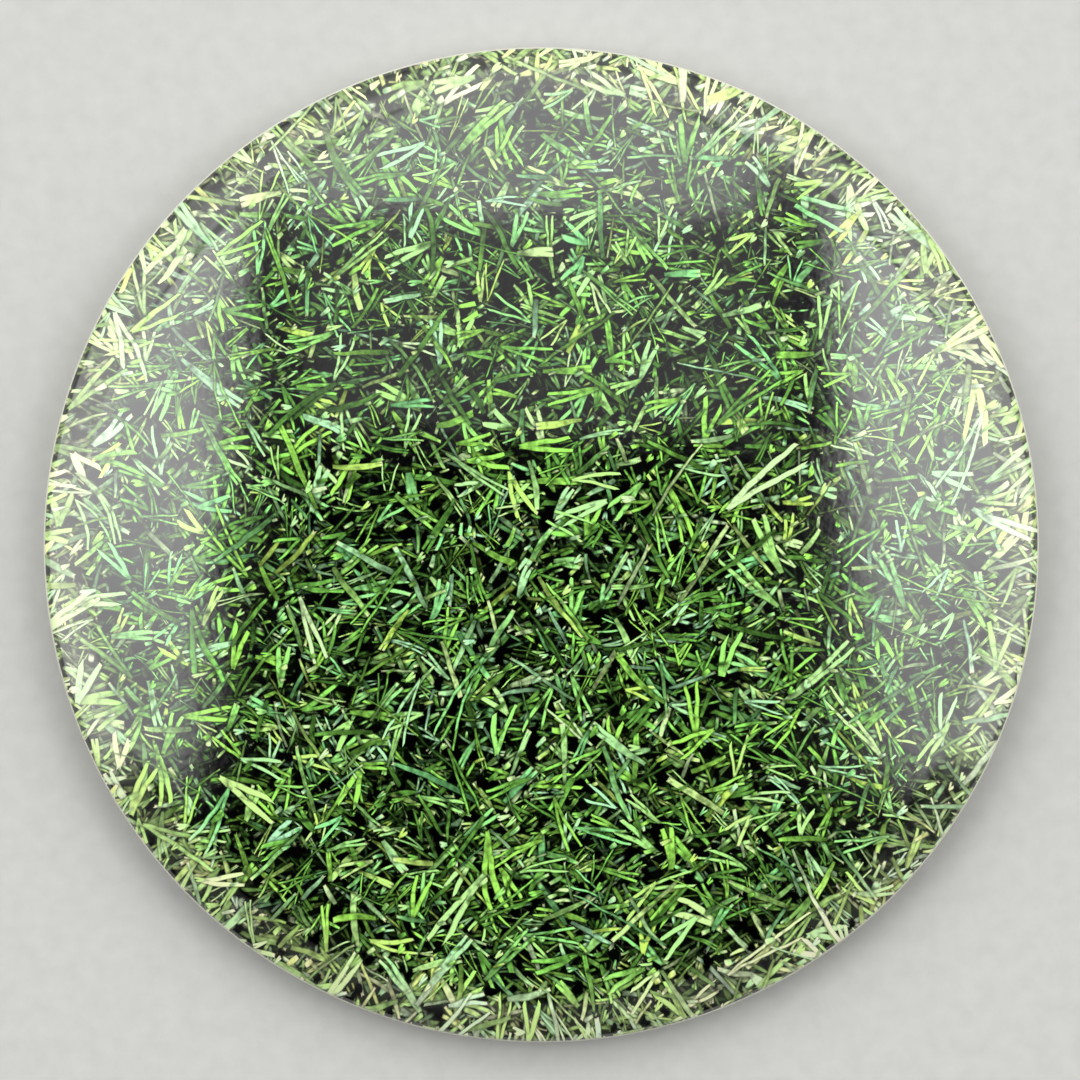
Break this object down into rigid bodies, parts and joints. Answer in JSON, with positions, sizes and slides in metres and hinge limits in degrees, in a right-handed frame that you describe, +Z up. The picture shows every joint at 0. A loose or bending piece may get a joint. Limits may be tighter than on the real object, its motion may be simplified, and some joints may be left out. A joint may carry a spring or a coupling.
{
  "type": "flying disc",
  "caption": "Round golf-type throwing disc: a low dome that rolls over a shoulder into a blunt rim, open and hollow underneath, with a printed film bonded over its top.",
  "frame": {"origin": "on the disc's axis, in the plane that the rim's foot rests on", "axes": "+Z up along the disc's axis, out of the printed top. The disc is round, so +X and +Y are free: +Y is the top of the printed picture"},
  "size_m": [0.217, 0.217, 0.019],
  "materials": {
    "body_plastic": "satin moulded polyurethane, creamy white",
    "printed_film": "glossy clear-coated film with a full-face printed picture of mown grass"
  },
  "bodies": {
    "root": {"disc_body": "body_plastic", "print_film": "printed_film"}
  },
  "joints": []
}
